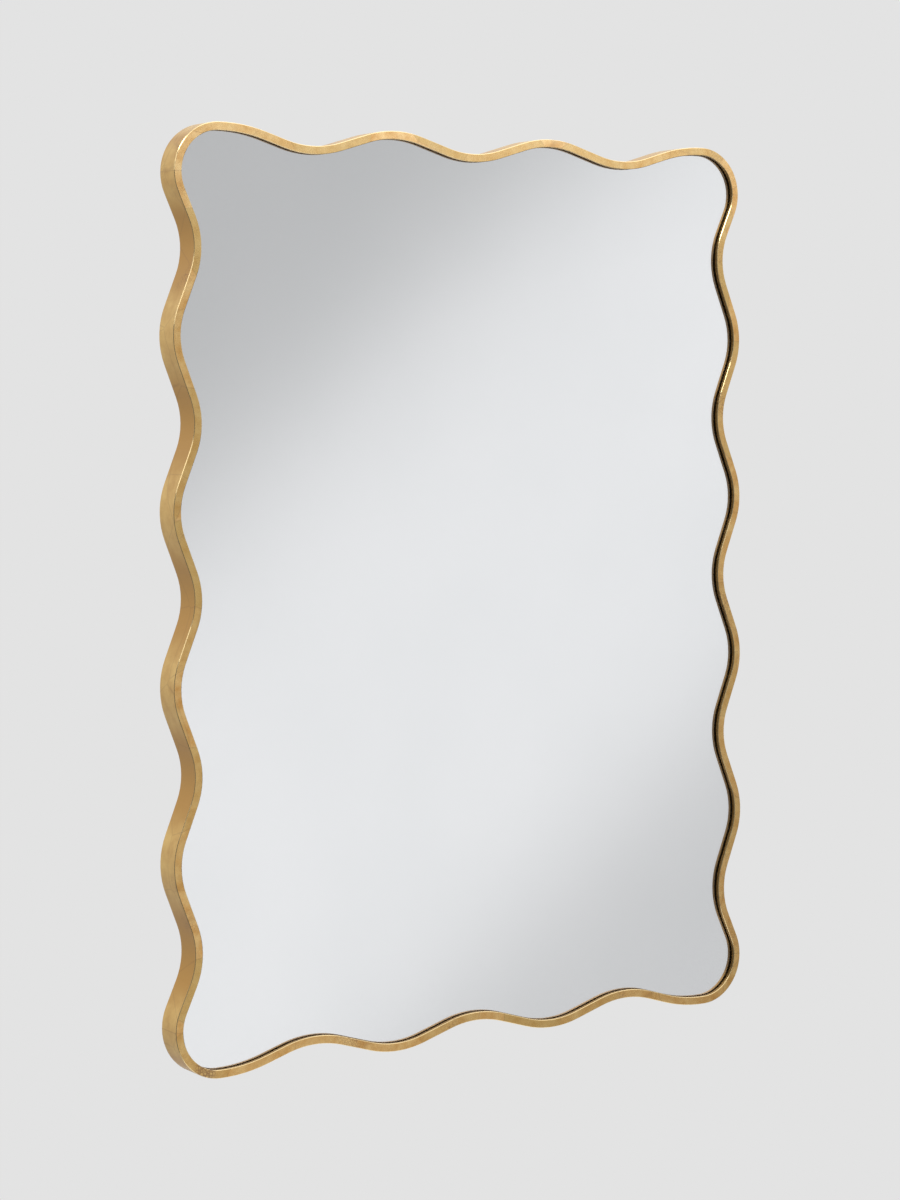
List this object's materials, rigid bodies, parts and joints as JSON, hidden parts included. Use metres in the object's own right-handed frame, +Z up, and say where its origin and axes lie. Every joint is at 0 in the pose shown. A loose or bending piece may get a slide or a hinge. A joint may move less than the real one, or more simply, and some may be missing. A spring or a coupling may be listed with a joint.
{
  "type": "wall_mirror",
  "caption": "Tall rectangular wall mirror with a wavy outline: a narrow gilded steel frame with a flat face and a deep plain side round a flat mirror, with hanging rings on the back",
  "frame": {"origin": "middle of the wall plane, on the two symmetry planes of the outline", "axes": "X to the right and Z up as seen from the front, Y from the front towards the wall; the mirror lies in Y < 0"},
  "size_m": [0.7618, 0.032, 1.016],
  "materials": {
    "gilded_face": "gold leaf over steel, satin, with leaf overlaps and small cracks",
    "gilded_rim": "gold leaf over steel, duller than the face",
    "black_foam": "closed-cell foam tape",
    "mirror_glass": "clear float glass, silvered on the back",
    "white_foam": "double-sided foam tape",
    "fibreboard": "bare medium-density fibreboard",
    "black_steel": "black powder coat",
    "plated_steel": "bright zinc plate"
  },
  "bodies": {
    "mirror": {"face_rail_right": "gilded_face", "face_rail_left": "gilded_face", "face_rail_top": "gilded_face", "face_rail_bottom": "gilded_face", "rim_strip_right": "gilded_rim", "rim_strip_left": "gilded_rim", "rim_strip_top": "gilded_rim", "rim_strip_bottom": "gilded_rim", "glazing_tape_right": "black_foam", "glazing_tape_left": "black_foam", "glazing_tape_top": "black_foam", "glazing_tape_bottom": "black_foam", "mirror_glass": "mirror_glass", "bonding_tape_far_left": "white_foam", "bonding_tape_left": "white_foam", "bonding_tape_middle": "white_foam", "bonding_tape_right": "white_foam", "bonding_tape_far_right": "white_foam", "backing_board": "fibreboard", "retaining_lug_left_upper": "black_steel", "retaining_lug_left_middle": "black_steel", "retaining_lug_left_lower": "black_steel", "retaining_lug_right_upper": "black_steel", "retaining_lug_right_middle": "black_steel", "retaining_lug_right_lower": "black_steel", "retaining_lug_top_left": "black_steel", "retaining_lug_top_middle": "black_steel", "retaining_lug_bottom_left": "black_steel", "retaining_lug_bottom_middle": "black_steel", "hanger_plate_upright_left": "black_steel", "hanger_plate_upright_right": "black_steel", "hanger_plate_sideways_top": "black_steel", "hanger_plate_sideways_bottom": "black_steel", "ring_strap_upright_left": "plated_steel", "ring_strap_upright_right": "plated_steel", "ring_strap_sideways_top": "plated_steel", "ring_strap_sideways_bottom": "plated_steel", "lug_screws": "plated_steel", "plate_screws": "plated_steel", "strap_rivets": "plated_steel"},
    "ring_upright_left": {"hanging_ring_upright_left": "plated_steel"},
    "ring_upright_right": {"hanging_ring_upright_right": "plated_steel"},
    "ring_sideways_top": {"hanging_ring_sideways_top": "plated_steel"},
    "ring_sideways_bottom": {"hanging_ring_sideways_bottom": "plated_steel"}
  },
  "joints": [
    {"name": "swing_upright_left", "type": "hinge", "parent": "mirror", "child": "ring_upright_left", "pos_m": [-0.331, -0.01272, 0.20299], "axis": [1, 0, 0], "range_deg": [0, 175]},
    {"name": "swing_upright_right", "type": "hinge", "parent": "mirror", "child": "ring_upright_right", "pos_m": [0.331, -0.01272, 0.20299], "axis": [1, 0, 0], "range_deg": [0, 175]},
    {"name": "swing_sideways_top", "type": "hinge", "parent": "mirror", "child": "ring_sideways_top", "pos_m": [0.22496, -0.01272, 0.462], "axis": [0, 0, -1], "range_deg": [0, 175]},
    {"name": "swing_sideways_bottom", "type": "hinge", "parent": "mirror", "child": "ring_sideways_bottom", "pos_m": [0.22496, -0.01272, -0.462], "axis": [0, 0, -1], "range_deg": [0, 175]}
  ]
}
